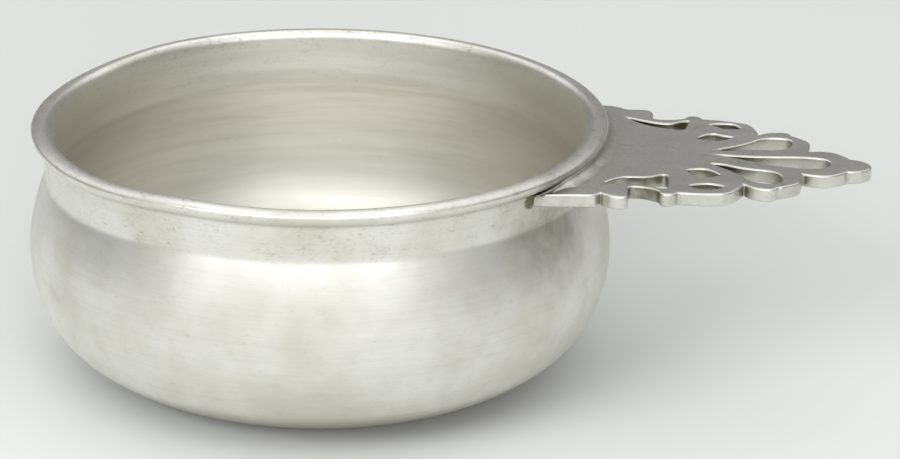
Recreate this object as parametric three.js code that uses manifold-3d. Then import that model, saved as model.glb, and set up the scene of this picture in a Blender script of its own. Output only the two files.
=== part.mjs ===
// Pewter porringer: a booged bowl with an upright collar and a rolled lip, and one flat pierced ear.
// Millimetres, +Z up. The origin is on the bowl's axis, on the plane that it rests on.
// The ear runs along +X. All four pieces are metal, and none of them moves.

import * as THREE from 'three';
import { mergeVertices } from 'three/addons/utils/BufferGeometryUtils.js';
import Module from 'manifold-3d';

const wasm = await Module();
wasm.setup();

// Driving sizes of the bowl
const rimDiameter = 127;          // over the lip, 5 inches
const bowlHeight = 59;            // resting plane to the top of the lip
const lipWidth = 4.5;             // across the rolled lip
const lipHeight = 3.4;
const wall = 1.5;
const floorWall = 1.9;
const collarDrop = 11.7;          // top of the lip to the crease under the collar
const collarInset = 3.05;         // the crease lies this far inside the lip's outer edge
const collarFlare = 0.7;          // the collar leans out by this much under the lip
const creaseSoftness = 1.2;       // the crease is rounded over this much of each face
const bellySwell = 1;             // the belly stands out this far past the lip
const bellyHeight = 30.9;         // resting plane to the widest place
const restDiameter = 46;          // flat disc under the bowl
const flankPower = 2.4;           // squareness of the lower flank: 2 would be an ellipse
const bossMargin = 3;             // resting disc's edge to the low turned swelling in the floor
const bossRise = 1.6;

// Driving sizes of the ear
const earLength = 58;             // lip to tip
const earWidth = 59.6;            // over the root
const earThickness = 2.95;
const earBelowLip = 0.38;         // underside of the lip to the top of the ear
const earShift = 0.3;             // the ear's axis lies this far to one side of the bowl's
const arris = 0.3;                // softened edges of the ear

// Driving sizes of the bracket and of the fused seam
const bracketReach = 15;          // lip to the point under the ear
const bracketWidth = 18;
const bracketPointWidth = 3;
const bracketDrop = 6;            // underside of the ear to the bracket's foot on the belly
const bracketPointHeight = 0.8;
const seamWidth = 1.6;            // fused metal between the collar and the ear's root
const seamSpread = 2.4;           // fillet lying on the ear, past the lip
const seamEdge = 0.12;
const seamRise = 0.9;             // height of the fillet where it meets the lip
const gap = 0.3;                  // between pieces that are fused on the real one
const overrun = 5;                // past a face, for cuts

// Counts
const turnSteps = 84;
const flankSteps = 11;
const shoulderSteps = 4;
const creaseSteps = 2;
const lipSteps = 10;
const lipTopStep = 6;             // this step of the lip is its highest
const bossSteps = 4;
const curveSteps = 4;
const rootSteps = 14;

const rimRadius = rimDiameter / 2;
const lipCentre = new THREE.Vector2(rimRadius - lipWidth / 2, bowlHeight - lipHeight / 2);
const crease = new THREE.Vector2(rimRadius - collarInset, bowlHeight - collarDrop);
const collarTop = new THREE.Vector2(crease.x + collarFlare, lipCentre.y);
const belly = new THREE.Vector2(rimRadius + bellySwell, bellyHeight);
const restRadius = restDiameter / 2;
const bossRadius = restRadius - bossMargin;
const earTop = bowlHeight - lipHeight - earBelowLip;

const v2 = (x, y) => new THREE.Vector2(x, y);
const toward = (from, to, reach) => to.clone().sub(from).setLength(reach).add(from);

// The lower flank from the resting disc up to the widest place, as a power curve
function flank(inset) {
  const points = [];
  const rise = belly.y - (inset ? floorWall : 0);
  const spread = belly.x - inset - restRadius;
  for (let i = 0; i <= flankSteps; i += 1) {
    const turn = (Math.PI / 2) * (i / flankSteps);
    const out = Math.sin(turn) ** (2 / flankPower);
    const down = Math.cos(turn) ** (2 / flankPower);
    points.push(v2(restRadius + spread * out, belly.y - rise * down));
  }
  return points;
}

// The shoulder from the widest place up to the crease, steep and nearly straight
function shoulderCurve(inset) {
  const lift = crease.y - belly.y;
  const reach = belly.x - crease.x;
  const widestShare = 0.32;
  const leanShares = [0.72, 0.78];
  return new THREE.CubicBezierCurve(
    v2(belly.x - inset, belly.y),
    v2(belly.x - inset, belly.y + lift * widestShare),
    v2(belly.x - inset - reach * leanShares[0], belly.y + lift * leanShares[1]),
    v2(crease.x - inset, crease.y - inset),
  );
}

const shoulder = (inset) => shoulderCurve(inset).getPoints(shoulderSteps);

// The soft hollow where the collar rises from the shoulder
function softCrease() {
  const below = toward(crease, shoulderCurve(0).v2, creaseSoftness);
  const above = toward(crease, collarTop, creaseSoftness);
  return new THREE.QuadraticBezierCurve(below, crease, above).getPoints(creaseSteps);
}

// The rolled lip as an oval from the collar's outer face over the top to its inner face
function lip(grow) {
  const startShare = -0.53;
  const firstTurn = Math.PI * startShare;
  const step = (Math.PI / 2 - firstTurn) / lipTopStep;
  const points = [];
  for (let i = 0; i <= lipSteps; i += 1) {
    const turn = firstTurn + step * i;
    const x = lipCentre.x + (lipWidth / 2 + grow) * Math.cos(turn);
    points.push(v2(x, lipCentre.y + (lipHeight / 2 + grow) * Math.sin(turn)));
  }
  return points;
}

// A closed body turned about the bowl's axis
function turned(profile) {
  const geometry = new THREE.LatheGeometry(profile, turnSteps);
  geometry.rotateX(Math.PI / 2);
  return geometry;
}

function bowlGeometry() {
  const inside = crease.x - wall;
  const boss = [];
  for (let i = 1; i <= bossSteps; i += 1) {
    const share = 1 - i / bossSteps;
    const lift = (1 + Math.cos(Math.PI * share)) / 2;
    boss.push(v2(bossRadius * share, floorWall + bossRise * lift));
  }
  const profile = [
    v2(0, 0),
    ...flank(0),
    ...shoulder(0).slice(1, -1),
    ...softCrease(),
    ...lip(0),
    v2(inside, crease.y - wall / 2),
    ...shoulder(wall).reverse(),
    ...flank(wall).reverse().slice(1),
    v2(bossRadius, floorWall),
    ...boss,
  ];
  return turned(profile);
}

// The bowl's outside, grown by the gap: what a piece that seats on the bowl is cut by
function bowlEnvelope() {
  const profile = [
    v2(0, -overrun),
    v2(restRadius, -overrun),
    ...flank(0).map((p) => v2(p.x + gap, p.y)),
    ...shoulder(0).slice(1).map((p) => v2(p.x + gap, p.y)),
    v2(collarTop.x + gap, collarTop.y),
    v2(collarTop.x + gap, bowlHeight + overrun),
    v2(0, bowlHeight + overrun),
  ];
  return turned(profile);
}

// Closed mesh to solid, and back
function solid(geometry) {
  const bare = geometry.clone();
  bare.deleteAttribute('normal');
  bare.deleteAttribute('uv');
  const weldShare = 0.001;
  const merged = mergeVertices(bare, arris * weldShare);
  const corners = merged.index.array;
  const kept = [];
  for (let i = 0; i < corners.length; i += 3) {
    const [a, b, c] = corners.slice(i, i + 3);
    if (a !== b && b !== c && a !== c) kept.push(a, b, c);
  }
  const vertProperties = Float32Array.from(merged.attributes.position.array);
  const triVerts = Uint32Array.from(kept);
  return new wasm.Manifold(new wasm.Mesh({ numProp: 3, vertProperties, triVerts }));
}

function geometryOf(manifold) {
  const mesh = manifold.getMesh();
  const geometry = new THREE.BufferGeometry();
  geometry.setAttribute('position', new THREE.BufferAttribute(mesh.vertProperties, 3));
  geometry.setIndex(new THREE.BufferAttribute(mesh.triVerts, 1));
  geometry.computeVertexNormals();
  return geometry;
}

// The ear's edge from the lip to the tip. Each row is a curve's control point and its end, along the
// ear from the lip and across it from its axis, as shares of the length and half width. The lobe next
// to the lip was filed wider and notched on the right, the side of -Y; the rest is alike on both sides.
const rootStartShare = [-0.05, 0.99];
const leftRootShares = [
  [[-0.03, 0.99], [0.0, 0.955]],
  [[0.02, 0.928], [0.035, 0.93]],
  [[0.055, 0.945], [0.09, 0.945]],
  [[0.122, 0.94], [0.126, 0.86]],
  [[0.129, 0.8], [0.13, 0.775]],
];
const rightRootShares = [
  [[0.0, 0.995], [0.025, 0.985]],
  [[0.036, 0.945], [0.044, 0.927]],
  [[0.05, 0.945], [0.066, 0.958]],
  [[0.085, 0.99], [0.112, 0.994]],
  [[0.146, 0.99], [0.147, 0.95]],
  [[0.139, 0.86], [0.138, 0.79]],
];
const edgeShares = [
  [[0.138, 0.748], [0.165, 0.747]],
  [[0.205, 0.746], [0.24, 0.79]],
  [[0.252, 0.81], [0.256, 0.845]],
  [[0.266, 0.872], [0.284, 0.872]],
  [[0.308, 0.868], [0.318, 0.828]],
  [[0.323, 0.81], [0.334, 0.818]],
  [[0.41, 0.82], [0.474, 0.784]],
  [[0.507, 0.77], [0.524, 0.695]],
  [[0.542, 0.63], [0.55, 0.545]],
  [[0.575, 0.61], [0.612, 0.624]],
  [[0.65, 0.65], [0.67, 0.6]],
  [[0.678, 0.555], [0.688, 0.56]],
  [[0.71, 0.52], [0.733, 0.488]],
  [[0.755, 0.45], [0.754, 0.365]],
  [[0.754, 0.3], [0.753, 0.245]],
  [[0.785, 0.272], [0.818, 0.27]],
  [[0.855, 0.27], [0.885, 0.206]],
  [[0.9, 0.18], [0.908, 0.162]],
  [[0.914, 0.13], [0.924, 0.14]],
  [[0.96, 0.125], [0.98, 0.085]],
  [[1.0, 0.05], [1.0, 0.0]],
];

// The piercings, sawn by hand and so not quite alike: the sides that each lies on (1 is left, +Y), its
// start, then control and end of each curve. The drop in the middle also hangs the porringer on a peg.
const piercings = [
  // Wedge beside the root, left
  {
    sides: [1],
    startShare: [0.03, 0.745],
    shares: [
      [[0.07, 0.66], [0.12, 0.605]],
      [[0.17, 0.56], [0.215, 0.55]],
      [[0.255, 0.53], [0.264, 0.57]],
      [[0.275, 0.67], [0.268, 0.75]],
      [[0.245, 0.74], [0.225, 0.69]],
      [[0.2, 0.64], [0.155, 0.66]],
      [[0.09, 0.69], [0.03, 0.745]],
    ],
  },
  // Wedge beside the root, right
  {
    sides: [-1],
    startShare: [0.04, 0.72],
    shares: [
      [[0.07, 0.6], [0.11, 0.56]],
      [[0.14, 0.545], [0.18, 0.54]],
      [[0.215, 0.515], [0.23, 0.48]],
      [[0.255, 0.43], [0.266, 0.5]],
      [[0.276, 0.6], [0.275, 0.735]],
      [[0.25, 0.755], [0.215, 0.722]],
      [[0.16, 0.68], [0.1, 0.7]],
      [[0.06, 0.71], [0.04, 0.72]],
    ],
  },
  // Outer lens, left
  {
    sides: [1],
    startShare: [0.353, 0.696],
    shares: [
      [[0.375, 0.745], [0.425, 0.745]],
      [[0.455, 0.742], [0.475, 0.655]],
      [[0.44, 0.625], [0.408, 0.632]],
      [[0.39, 0.68], [0.353, 0.696]],
    ],
  },
  // Outer lens, right
  {
    sides: [-1],
    startShare: [0.353, 0.641],
    shares: [
      [[0.388, 0.726], [0.433, 0.697]],
      [[0.464, 0.681], [0.479, 0.624]],
      [[0.455, 0.589], [0.419, 0.582]],
      [[0.395, 0.592], [0.353, 0.641]],
    ],
  },
  // Inner lens, left
  {
    sides: [1],
    startShare: [0.325, 0.38],
    shares: [
      [[0.352, 0.495], [0.384, 0.5]],
      [[0.41, 0.47], [0.455, 0.455]],
      [[0.425, 0.365], [0.395, 0.347]],
      [[0.36, 0.34], [0.325, 0.38]],
    ],
  },
  // Inner lens, right
  {
    sides: [-1],
    startShare: [0.328, 0.32],
    shares: [
      [[0.353, 0.442], [0.386, 0.458]],
      [[0.409, 0.458], [0.455, 0.39]],
      [[0.412, 0.285], [0.381, 0.278]],
      [[0.357, 0.285], [0.328, 0.32]],
    ],
  },
  // Comma
  {
    sides: [1, -1],
    startShare: [0.406, 0.15],
    shares: [
      [[0.5, 0.28], [0.536, 0.37]],
      [[0.565, 0.49], [0.628, 0.492]],
      [[0.688, 0.492], [0.684, 0.39]],
      [[0.679, 0.24], [0.609, 0.226]],
      [[0.529, 0.219], [0.474, 0.17]],
      [[0.438, 0.14], [0.406, 0.15]],
    ],
  },
  // Middle drop
  {
    sides: [1],
    startShare: [0.42, 0.045],
    shares: [
      [[0.56, 0.04], [0.7, 0.102]],
      [[0.85, 0.15], [0.845, 0.0]],
      [[0.84, -0.125], [0.74, -0.124]],
      [[0.65, -0.118], [0.58, -0.06]],
      [[0.52, -0.01], [0.42, 0.045]],
    ],
  },
];

const onEar = ([along, across], side) => v2(
  rimRadius + earLength * along,
  earShift + side * (earWidth / 2) * across,
);

function drawCurves(path, shares, side) {
  for (const [control, end] of shares) {
    const c = onEar(control, side);
    const e = onEar(end, side);
    path.quadraticCurveTo(c.x, c.y, e.x, e.y);
  }
}

function piercingPath({ startShare, shares }, side) {
  const path = new THREE.Path();
  const start = onEar(startShare, side);
  path.moveTo(start.x, start.y);
  drawCurves(path, shares, side);
  return path;
}

// The same curves drawn backwards, from the last end to the start
function backwards(startShare, shares) {
  const ends = [startShare, ...shares.map(([, end]) => end)];
  return shares.map(([control], i) => [control, ends[i]]).reverse();
}

// The root ends in an arc round the collar, behind the seam
function earShape() {
  const rootRadius = collarTop.x + gap + seamWidth + gap;
  const leftTurn = Math.asin(onEar(rootStartShare, 1).y / rootRadius);
  const rightTurn = Math.asin(onEar(rootStartShare, -1).y / rootRadius);
  const shape = new THREE.Shape();
  for (let i = 0; i <= rootSteps; i += 1) {
    const turn = leftTurn + (rightTurn - leftTurn) * (i / rootSteps);
    const x = rootRadius * Math.cos(turn);
    const y = rootRadius * Math.sin(turn);
    if (i === 0) shape.moveTo(x, y);
    else shape.lineTo(x, y);
  }
  drawCurves(shape, [...rightRootShares, ...edgeShares], -1);
  drawCurves(shape, backwards(rootStartShare, [...leftRootShares, ...edgeShares]), 1);
  for (const piercing of piercings) {
    for (const side of piercing.sides) shape.holes.push(piercingPath(piercing, side));
  }
  return shape;
}

function earGeometry() {
  const geometry = new THREE.ExtrudeGeometry(earShape(), {
    depth: earThickness - 2 * arris,
    curveSegments: curveSteps,
    bevelThickness: arris,
    bevelSize: arris,
    bevelOffset: -arris,
    bevelSegments: 1,
  });
  geometry.translate(0, 0, earTop - earThickness + arris);
  return geometry;
}

// An outline in a plane, drawn out along that plane's normal
function drawnOut(points, depth) {
  return new THREE.ExtrudeGeometry(new THREE.Shape(points), { depth, bevelEnabled: false });
}

// Triangular bracket: broad where it seats on the collar and the belly, a point under the ear
function bracketGeometry() {
  const inner = crease.x - wall;
  const tip = rimRadius + bracketReach;
  const seat = earTop - earThickness - gap;
  const foot = seat - bracketDrop;
  const hollowShare = 0.3;
  const sweep = new THREE.QuadraticBezierCurve(
    v2(rimRadius, foot),
    v2(rimRadius + bracketReach * hollowShare, seat - bracketDrop * hollowShare),
    v2(tip, seat - bracketPointHeight),
  );
  const side = [
    v2(inner, seat),
    v2(inner, foot),
    ...sweep.getPoints(2 * curveSteps),
    v2(tip, seat),
  ];
  const sideSolid = drawnOut(side, bracketWidth);
  sideSolid.rotateX(Math.PI / 2);
  sideSolid.translate(0, bracketWidth / 2, 0);
  const plan = [
    v2(inner, -bracketWidth / 2),
    v2(rimRadius, -bracketWidth / 2),
    v2(tip, -bracketPointWidth / 2),
    v2(tip, bracketPointWidth / 2),
    v2(rimRadius, bracketWidth / 2),
    v2(inner, bracketWidth / 2),
  ];
  const planSolid = drawnOut(plan, bowlHeight);
  const body = solid(sideSolid).intersect(solid(planSolid));
  return geometryOf(body.subtract(solid(bowlEnvelope())));
}

// Fused metal: a strip between the collar and the root, and a fillet over the root's top
function seamGeometry() {
  const inner = collarTop.x + gap;
  const outer = inner + seamWidth;
  const foot = earTop - earThickness;
  const bed = earTop + gap;
  const edge = rimRadius + seamSpread;
  const runOutShare = 0.33;
  const fillet = new THREE.QuadraticBezierCurve(
    v2(edge, bed + seamEdge),
    v2(rimRadius + seamSpread * runOutShare, bed + seamEdge),
    v2(rimRadius, bed + seamRise),
  );
  const underLip = lip(gap).filter((p) => p.x > inner && p.y < bed + seamRise);
  const profile = [
    v2(inner, foot),
    v2(outer, foot),
    v2(outer, bed),
    v2(edge, bed),
    ...fillet.getPoints(curveSteps),
    ...underLip.reverse(),
    v2(inner, lipCentre.y - lipHeight / 2 - gap),
    v2(inner, foot),
  ];
  const leftTurn = Math.asin(onEar(rootStartShare, 1).y / rimRadius);
  const rightTurn = Math.asin(onEar(rootStartShare, -1).y / rimRadius);
  const far = 2 * rimRadius;
  const wedge = [
    v2(0, 0),
    v2(far * Math.cos(rightTurn), far * Math.sin(rightTurn)),
    v2(far * Math.cos(leftTurn), far * Math.sin(leftTurn)),
  ];
  const sector = drawnOut(wedge, bowlHeight + overrun);
  return geometryOf(solid(turned(profile)).intersect(solid(sector)));
}

// Finishes: scoured pewter on the bowl, a duller cast skin under the ear
const metal = (color, roughness) => new THREE.MeshStandardMaterial({ color, roughness, metalness: 1 });

function piece(name, geometry, material) {
  const mesh = new THREE.Mesh(geometry, material);
  mesh.name = name;
  return mesh;
}

const porringer = new THREE.Group();
porringer.add(
  piece('bowl', bowlGeometry(), metal(0xc9c8c2, 0.38)),
  piece('handle', earGeometry(), metal(0xb4b5b0, 0.42)),
  piece('handle_seam', seamGeometry(), metal(0xc2c2bd, 0.5)),
  piece('handle_bracket', bracketGeometry(), metal(0x9d9b92, 0.6)),
);

export default porringer;
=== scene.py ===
# %% [markdown]
# A pewter porringer is a small bellied bowl with an upright collar, a rolled lip and a flat pierced ear.
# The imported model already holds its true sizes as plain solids. This lesson dresses it: a bowl turned
# from one profile, a cast ear with softened edges, the fused seam between them, and the bracket below.
# Everything is in metres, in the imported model's frame: the bowl's axis is Z and the ear runs along X.

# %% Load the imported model
import math
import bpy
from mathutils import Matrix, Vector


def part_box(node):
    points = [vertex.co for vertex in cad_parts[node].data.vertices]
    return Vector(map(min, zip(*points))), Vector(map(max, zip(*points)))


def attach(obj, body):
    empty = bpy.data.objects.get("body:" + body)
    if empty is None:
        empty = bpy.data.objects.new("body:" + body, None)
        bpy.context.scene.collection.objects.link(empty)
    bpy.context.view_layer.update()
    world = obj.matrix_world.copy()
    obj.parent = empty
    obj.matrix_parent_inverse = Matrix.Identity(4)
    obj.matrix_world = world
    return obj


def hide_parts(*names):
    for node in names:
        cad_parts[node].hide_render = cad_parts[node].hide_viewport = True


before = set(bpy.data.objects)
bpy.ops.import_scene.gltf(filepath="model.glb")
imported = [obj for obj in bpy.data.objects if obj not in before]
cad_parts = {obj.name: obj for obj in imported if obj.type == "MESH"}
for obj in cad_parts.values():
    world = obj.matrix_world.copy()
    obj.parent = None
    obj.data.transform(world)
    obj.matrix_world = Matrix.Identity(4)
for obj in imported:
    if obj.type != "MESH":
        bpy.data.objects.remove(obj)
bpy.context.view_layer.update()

from types import SimpleNamespace

import bmesh
import bpy
from mathutils import Matrix, Vector, noise

MM = 0.001

# %% [markdown]
# The sizes below are the driving sizes that the solids were made from. They could all be typed again
# here, but then the dressed porringer might drift away from the solid one. So what can be read from the
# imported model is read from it: the belly's radius, the bowl's height, and later the ear's top and tip.

# %% Driving sizes
bowl_low, bowl_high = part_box("bowl")
handle_low, handle_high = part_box("handle")
belly_radius = (bowl_high.y - bowl_low.y) / 2
bowl_height = bowl_high.z
belly_past_rim = 1 * MM
rim_radius = belly_radius - belly_past_rim
lip_width = 4.5 * MM
lip_height = 3.4 * MM
wall = 1.5 * MM
floor_wall = 1.9 * MM
crease_inset = 3.05 * MM
crease_radius = rim_radius - crease_inset
collar_height = 11.7 * MM
crease_height = bowl_height - collar_height
belly_height = 30.9 * MM
rest_radius = 23 * MM
flank_power = 2.4
print("belly radius, mm:", round(belly_radius / MM, 2))
print("height over the lip, mm:", round(bowl_height / MM, 2))

# %% [markdown]
# The camera stands a little above the rim and far enough away that the bowl shows hardly any
# perspective. It could be placed by eye, but then no one could say where it stands. So it is given as a
# real place: a distance from the middle of the lip, a height angle, and the angle that the ear is turned
# towards it. A long lens then frames the 900 by 459 picture.

# %% The camera
camera_distance = 889 * MM
camera_elevation = math.radians(19.18)
ear_turn = math.radians(11.38)
aim_below_lip = 25.5 * MM
look_right = math.radians(1.84)
lens_mm = 160.9
sensor_mm = 36.0
nearest = 50 * MM
farthest = 20.0


def place_camera():
    """A camera at the photograph's place, looking at the bowl and then turned a little to the right."""
    data = bpy.data.cameras.new("Photo camera")
    data.lens = lens_mm
    data.sensor_width = sensor_mm
    data.clip_start = nearest
    data.clip_end = farthest
    cam = bpy.data.objects.new("Photo camera", data)
    bpy.context.collection.objects.link(cam)
    level = Vector((math.sin(ear_turn), -math.cos(ear_turn), 0)) * math.cos(camera_elevation)
    back = level + Vector((0, 0, math.sin(camera_elevation)))
    lip_middle = Vector((0, 0, bowl_height - lip_height / 2))
    eye = lip_middle + back * camera_distance
    forward = (lip_middle - Vector((0, 0, aim_below_lip)) - eye).normalized()
    right = forward.cross(Vector((0, 0, 1))).normalized()
    up = right.cross(forward)
    ahead = forward * math.cos(look_right) + right * math.sin(look_right)
    side = right * math.cos(look_right) - forward * math.sin(look_right)
    turn = Matrix((side, up, -ahead)).transposed().to_4x4()
    cam.matrix_world = Matrix.Translation(eye) @ turn
    bpy.context.scene.camera = cam
    return cam


camera = place_camera()
print("camera at, mm:", [round(v / MM) for v in camera.matrix_world.translation])

# %% [markdown]
# Colours are written as the hex values that a picture shows, and one function turns them into the
# linear numbers that the shader wants. One more function adds any node, in a shader or in Geometry
# Nodes, with its settings and links, and hands back one of its outputs. The kinds of node that come
# again and again get a short name.

# %% Colour and node helpers
MATH = "ShaderNodeMath"
VECTOR = "ShaderNodeVectorMath"
RANGE = "ShaderNodeMapRange"
MIX = "ShaderNodeMix"
NOISE = "ShaderNodeTexNoise"


def linear(hex_colour):
    """An sRGB hex colour as linear red, green, blue and 1."""
    shares = [int(hex_colour[i:i + 2], 16) / 255 for i in (1, 3, 5)]
    bent = [s / 12.92 if s <= 0.04045 else ((s + 0.055) / 1.055) ** 2.4 for s in shares]
    return (*bent, 1.0)


def add(tree, kind, *inputs, out=0, **settings):
    """Adds a node and returns one output. Inputs are values or sockets, in order or by name in a dict."""
    node = tree.nodes.new(kind)
    for name, value in settings.items():
        setattr(node, name, value)
    named = inputs[0] if inputs and isinstance(inputs[0], dict) else dict(enumerate(inputs))
    for key, value in named.items():
        if isinstance(value, bpy.types.NodeSocket):
            tree.links.new(value, node.inputs[key])
        else:
            node.inputs[key].default_value = value
    return node.outputs[out] if len(node.outputs) else None


print("mid grey #808080 in linear:", round(linear("#808080")[0], 3))

# %% [markdown]
# The bowl is cast and then turned on a lathe, so its whole shape is one line spun round the axis. It
# could be pushed and pulled from a cylinder, but a line with real sizes is exact and short. It runs from
# the middle of the underside, out over the resting disc, up the flank and the shoulder, in at the
# crease, up the collar, round the lip, and back down the inside to the middle of the floor.

# %% Sizes along the profile
collar_spread = 0.7 * MM
collar_radius = crease_radius + collar_spread
crease_softness = 1.5 * MM
inner_softness = 2.0 * MM
crest_inset = 2.8 * MM
outer_roll_drop = 1.05 * MM
inner_roll_drop = 1.9 * MM
neck_draw = 0.35 * MM
neck_radius = crease_radius - wall - neck_draw
flare = math.radians(5)
boss_inset = 3 * MM
boss_radius = rest_radius - boss_inset
boss_rise = 1.6 * MM
print("collar and neck radius, mm:", round(collar_radius / MM, 2), round(neck_radius / MM, 2))

# %% [markdown]
# Below its widest place the flank is a power curve, squarer than an ellipse, as such bellies are. The
# shoulder above it is nearly straight, so it is a Bezier curve with its two middle corners given as
# shares of the shoulder's reach and lift.

# %% The flank and the shoulder
flank_steps = 46
shoulder_steps = 22
shoulder_upright_share = 0.32
shoulder_turn_shares = (0.636, 0.82)


def flank(inset, floor):
    """The lower flank from the resting disc up to the widest place."""
    rise = belly_height - floor
    spread = belly_radius - inset - rest_radius
    turns = [math.pi / 2 * i / flank_steps for i in range(flank_steps + 1)]
    return [(rest_radius + spread * math.sin(t) ** (2 / flank_power),
             belly_height - rise * math.cos(t) ** (2 / flank_power)) for t in turns]


def bezier(points, steps):
    """Points along a cubic Bezier curve given by four corners."""
    found = []
    for i in range(steps + 1):
        t = i / steps
        shares = ((1 - t) ** 3, 3 * t * (1 - t) ** 2, 3 * t * t * (1 - t), t ** 3)
        found.append(tuple(sum(s * p[axis] for s, p in zip(shares, points)) for axis in (0, 1)))
    return found


def shoulder(inset):
    """The shoulder from the widest place up to the crease under the collar."""
    lift = crease_height - belly_height
    reach = belly_radius - crease_radius
    widest = belly_radius - inset
    across, up = shoulder_turn_shares
    corners = [
        (widest, belly_height),
        (widest, belly_height + shoulder_upright_share * lift),
        (widest - across * reach, belly_height + up * lift),
        (crease_radius - inset, crease_height - inset),
    ]
    return bezier(corners, shoulder_steps)


print("points up the flank and up the shoulder:", len(flank(0, 0)), len(shoulder(0)))

# %% [markdown]
# The lip is a bead that was rolled outwards. One torus would be too round: the real one has a low crest
# a little outside its middle, drops quickly on the outside and slowly to the inside. So it is three
# quarter ellipses that meet at the crest and at the widest place. The collar inside flares towards it.

# %% The lip and the inside of the collar
lip_steps = 36
collar_steps = 8
flare_pull_share = 0.4


def lip():
    """The rolled lip: its underside, the round outside up to its crest, and the inside down again."""
    crest = rim_radius - crest_inset
    widest = bowl_height - outer_roll_drop
    first = -math.acos((collar_radius - crest) / crest_inset)
    last = math.pi - flare
    turns = [first + (last - first) * i / lip_steps for i in range(lip_steps + 1)]
    under = [(crest + crest_inset * math.cos(t), widest + (lip_height - outer_roll_drop) * math.sin(t))
             for t in turns if t <= 0]
    outer = [(crest + crest_inset * math.cos(t), widest + outer_roll_drop * math.sin(t))
             for t in turns if 0 < t <= math.pi / 2]
    inner = [(crest + (lip_width - crest_inset) * math.cos(t),
              bowl_height - inner_roll_drop * (1 - math.sin(t))) for t in turns if t > math.pi / 2]
    return under + outer + inner


def inner_collar(top, foot):
    """The collar's inner face: flared under the lip and nearly upright at its foot."""
    reach = flare_pull_share * (top[1] - foot[1])
    corners = [top, (top[0] - reach * math.sin(flare), top[1] - reach * math.cos(flare)),
               (foot[0], foot[1] + reach), foot]
    return bezier(corners, collar_steps)


print("points round the lip:", len(lip()))

# %% [markdown]
# Now the stretches are joined. Where the shoulder meets the collar the joined line has a corner, and on
# the real bowl that is a soft crease, so the points near it give way to a curve that cuts the corner.
# A low boss is left in the middle of the floor, where such bowls were held while they were turned.

# %% The whole line
crease_steps = 10
rest_steps = 5
boss_steps = 12


def straight(start, end, steps):
    """Points between two ends, without the ends."""
    shares = [i / steps for i in range(1, steps)]
    return [(start[0] + (end[0] - start[0]) * s, start[1] + (end[1] - start[1]) * s) for s in shares]


def softened(line, corner, reach):
    """The line with the points near a corner replaced by a soft curve that cuts the corner."""
    near = [i for i, point in enumerate(line) if math.dist(point, corner) < reach]
    before, after = line[near[0] - 1], line[near[-1] + 1]
    curve = bezier([before, corner, corner, after], crease_steps)
    return line[:near[0] - 1] + curve + line[near[-1] + 2:]


def bowl_profile():
    """The whole line as (radius, height), from the underside's middle to the floor's middle."""
    outside = flank(0, 0)
    rest = [(0, 0), *straight((0, 0), outside[0], rest_steps)]
    rise = shoulder(0)[1:]
    rolled = lip()
    foot = (neck_radius, crease_height - wall / 2)
    up = straight(rise[-1], rolled[0], collar_steps)
    down = inner_collar(rolled[-1], foot)[1:]
    outer = softened(outside + rise + up, rise[-1], crease_softness)
    inner = softened([*down, *reversed(shoulder(wall))], foot, inner_softness)
    floor_line = list(reversed(flank(wall, floor_wall)))[1:]
    shares = [1 - i / boss_steps for i in range(boss_steps + 1)]
    boss = [(boss_radius * s, floor_wall + boss_rise * (1 + math.cos(math.pi * s)) / 2) for s in shares]
    return rest + outer + rolled + inner + floor_line + boss


profile = bowl_profile()
lip_end_share = profile.index(lip()[-1]) / (len(profile) - 1)
print("profile points:", len(profile))
print("the inside starts at this share of the line:", round(lip_end_share, 3))

# %% [markdown]
# Geometry Nodes spin the line. A Screw modifier could do that too, but a tree can also add what use
# left on this bowl: a rim that was once knocked and sags by a millimetre on the side away from the ear,
# and a wall that wavers by a tenth of a millimetre, which makes the soft reflections wander on real
# pewter. The tree starts from a grid with one row for each point of the line and one column for each
# step round the axis.

# %% A tree with inputs, and a grid with angles
def tree_with_inputs(name, kinds):
    """An empty geometry tree with a named input of each kind, and the sockets of those inputs."""
    tree = bpy.data.node_groups.new(name, "GeometryNodeTree")
    face = tree.interface
    face.new_socket("Geometry", in_out="INPUT", socket_type="NodeSocketGeometry")
    for label, kind in kinds.items():
        face.new_socket(label, in_out="INPUT", socket_type=kind)
    face.new_socket("Geometry", in_out="OUTPUT", socket_type="NodeSocketGeometry")
    return tree, tree.nodes.new("NodeGroupInput").outputs


def spun_grid(tree, steps, count):
    """A grid with a row for each point of the line, and each point's row and angle round the axis."""
    columns = add(tree, MATH, steps, 1.0, operation="ADD")
    grid = add(tree, "GeometryNodeMeshGrid", {"Vertices X": count, "Vertices Y": columns}, out="Mesh")
    index = add(tree, "GeometryNodeInputIndex")
    middle = add(tree, MATH, index, 0.5, operation="ADD")
    row = add(tree, MATH, add(tree, MATH, middle, columns, operation="DIVIDE"), operation="FLOOR")
    before = add(tree, MATH, row, columns, operation="MULTIPLY")
    column = add(tree, MATH, index, before, operation="SUBTRACT")
    turn = add(tree, MATH, column, steps, operation="DIVIDE")
    angle = add(tree, MATH, turn, math.tau, operation="MULTIPLY")
    return grid, row, angle


print("steps along the line:", len(profile) - 1)

# %% [markdown]
# The knock and the waver move a point before it is written to the mesh. The knock is strongest where
# the rim faces its angle and fades out round the rim and down to the belly. The waver pushes the wall
# in and out along its own radius, by a soft noise that fades to nothing at the foot.

# %% The knock in the rim and the waver of the wall
sag_reach = math.radians(62)
sag_flat = math.radians(25)
waver_detail = 1.5


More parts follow.
